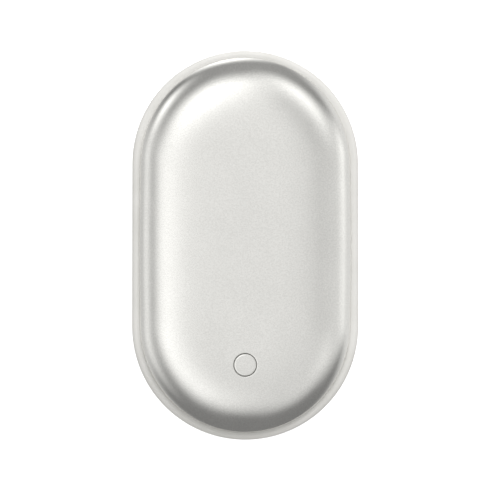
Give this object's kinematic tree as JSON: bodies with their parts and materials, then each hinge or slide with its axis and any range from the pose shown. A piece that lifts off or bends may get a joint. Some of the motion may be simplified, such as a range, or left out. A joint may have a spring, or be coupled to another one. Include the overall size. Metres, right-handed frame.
{
  "type": "rechargeable hand warmer",
  "caption": "Pebble-shaped rechargeable hand warmer: satin aluminium shells on a pale moulded middle band, a flush round push button on the front and charging sockets in the lower end.",
  "frame": {"origin": "centre of the flat on the back shell that the warmer rests on, at z = 0", "axes": "+Z out of the front face with the button, +Y along the length away from the button and the sockets, +X across the width"},
  "size_m": [0.0582, 0.1, 0.026],
  "materials": {
    "shell": "bead-blasted satin, clear anodised",
    "button": "bead-blasted satin, clear anodised",
    "frame": "fine satin moulding, off-white",
    "inner_plastic": "moulded, dark grey",
    "plunger": "moulded, black",
    "adhesive": "foam tape",
    "cell_wrap": "shrink wrap on a steel can",
    "nickel": "nickel strip",
    "socket_steel": "plated steel",
    "screw": "black zinc",
    "board": "green solder resist",
    "chip": "moulded epoxy",
    "ferrite": "sintered ferrite",
    "capacitor": "ceramic",
    "led": "clear resin",
    "guide": "clear moulded light guide",
    "tongue": "moulded insulator",
    "heater": "polyimide film",
    "foam": "insulating felt",
    "bead": "epoxy bead",
    "red_lead": "silicone sleeve",
    "black_lead": "silicone sleeve",
    "white_lead": "silicone sleeve"
  },
  "bodies": {
    "case": {"back_adhesive": "adhesive", "back_carrier": "inner_plastic", "back_heater": "heater", "back_heater_lead_1": "white_lead", "back_heater_lead_2": "white_lead", "back_insulation": "foam", "back_shell": "shell", "back_thermistor": "bead", "back_thermistor_lead": "white_lead", "board_screw_1": "screw", "board_screw_2": "screw", "boost_chip": "chip", "button_collar": "inner_plastic", "carrier_screw_1": "screw", "carrier_screw_2": "screw", "carrier_screw_3": "screw", "carrier_screw_4": "screw", "cell_left": "cell_wrap", "cell_right": "cell_wrap", "charger_chip": "chip", "controller_chip": "chip", "front_adhesive": "adhesive", "front_carrier": "inner_plastic", "front_heater": "heater", "front_heater_lead_1": "white_lead", "front_heater_lead_2": "white_lead", "front_insulation": "foam", "front_shell": "shell", "front_thermistor": "bead", "front_thermistor_lead": "white_lead", "inductor": "ferrite", "input_capacitor": "capacitor", "lead_negative": "black_lead", "lead_positive": "red_lead", "led_1": "led", "led_2": "led", "led_3": "led", "led_4": "led", "light_guide": "guide", "main_board": "board", "middle_frame": "frame", "output_capacitor": "capacitor", "strip_negative": "nickel", "strip_positive": "nickel", "switch_body": "chip", "usb_a_shell": "socket_steel", "usb_a_tongue": "tongue", "usb_c_shell": "socket_steel", "usb_c_tongue": "tongue"},
    "button": {"button_cap": "button", "switch_plunger": "plunger"}
  },
  "joints": [
    {"name": "button_press", "type": "slide", "parent": "case", "child": "button", "axis": [0, 0, -1], "range_m": [0, 0.0004], "stiffness_N_per_m": 2500}
  ]
}
